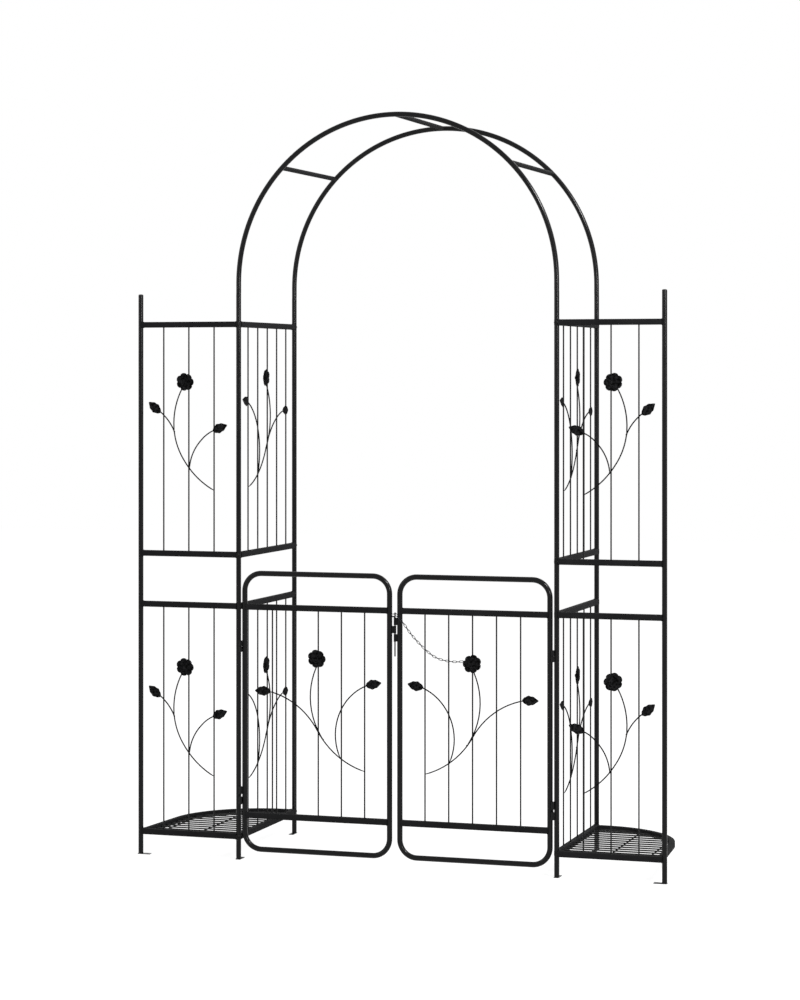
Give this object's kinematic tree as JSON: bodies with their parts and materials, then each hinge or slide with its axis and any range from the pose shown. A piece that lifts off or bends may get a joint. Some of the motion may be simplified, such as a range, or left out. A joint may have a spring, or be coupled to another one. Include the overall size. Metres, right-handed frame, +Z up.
{
  "type": "garden arch with gate",
  "caption": "Round-topped steel garden arch with a latched two-leaf gate between trellis towers that carry plant shelves and vine ornaments.",
  "frame": {"origin": "on the ground, midway between the inner posts and midway from front to rear", "axes": "+X to the right as seen from the front, +Y to the rear, +Z up"},
  "size_m": [1.559, 0.4922, 2.1265],
  "materials": {
    "frame_coating": "black powder coat, satin",
    "ornament_coating": "black powder coat, satin",
    "bolt_coating": "black coated bolts, satin",
    "zinc_plated_steel": "zinc plated, slightly dull"
  },
  "bodies": {
    "arch": {"front_hoop": "frame_coating", "left_crossbar": "frame_coating", "left_feet": "frame_coating", "left_front_lower_rails": "frame_coating", "left_front_lower_vine": "ornament_coating", "left_front_post": "frame_coating", "left_front_upper_rails": "frame_coating", "left_front_upper_vine": "ornament_coating", "left_front_wires": "frame_coating", "left_outer_post": "frame_coating", "left_post_hinges": "frame_coating", "left_rear_post": "frame_coating", "left_shelf_frame": "frame_coating", "left_shelf_slats": "frame_coating", "left_side_lower_rails": "frame_coating", "left_side_lower_vine": "ornament_coating", "left_side_upper_rails": "frame_coating", "left_side_upper_vine": "ornament_coating", "left_side_wires": "frame_coating", "outer_post_caps": "frame_coating", "rear_hoop": "frame_coating", "right_crossbar": "frame_coating", "right_feet": "frame_coating", "right_front_lower_rails": "frame_coating", "right_front_lower_vine": "ornament_coating", "right_front_post": "frame_coating", "right_front_upper_rails": "frame_coating", "right_front_upper_vine": "ornament_coating", "right_front_wires": "frame_coating", "right_outer_post": "frame_coating", "right_post_hinges": "frame_coating", "right_rear_post": "frame_coating", "right_shelf_frame": "frame_coating", "right_shelf_slats": "frame_coating", "right_side_lower_rails": "frame_coating", "right_side_lower_vine": "ornament_coating", "right_side_upper_rails": "frame_coating", "right_side_upper_vine": "ornament_coating", "right_side_wires": "frame_coating", "side_panel_bolts": "bolt_coating", "top_crossbar": "frame_coating"},
    "left_gate": {"left_gate_frame": "frame_coating", "left_gate_hinges": "frame_coating", "left_gate_rails": "frame_coating", "left_gate_vine": "ornament_coating", "left_gate_wires": "frame_coating", "left_latch_eye": "frame_coating"},
    "right_gate": {"latch_chain": "zinc_plated_steel", "right_gate_frame": "frame_coating", "right_gate_hinges": "frame_coating", "right_gate_rails": "frame_coating", "right_gate_vine": "ornament_coating", "right_gate_wires": "frame_coating", "right_latch_eyes": "frame_coating"},
    "latch_pin": {"latch_pin": "frame_coating", "latch_pin_ring": "zinc_plated_steel"}
  },
  "joints": [
    {"name": "left_gate_swing", "type": "hinge", "parent": "arch", "child": "left_gate", "pos_m": [-0.46034, -0.2418, 0.6], "axis": [0, 0, 1], "range_deg": [-110, 0]},
    {"name": "right_gate_swing", "type": "hinge", "parent": "arch", "child": "right_gate", "pos_m": [0.46034, -0.2418, 0.6], "axis": [0, 0, 1], "range_deg": [0, 110]},
    {"name": "latch_pin_lift", "type": "slide", "parent": "right_gate", "child": "latch_pin", "axis": [0, 0, 1], "range_m": [0, 0.095], "deforming": ["latch_chain"]}
  ]
}
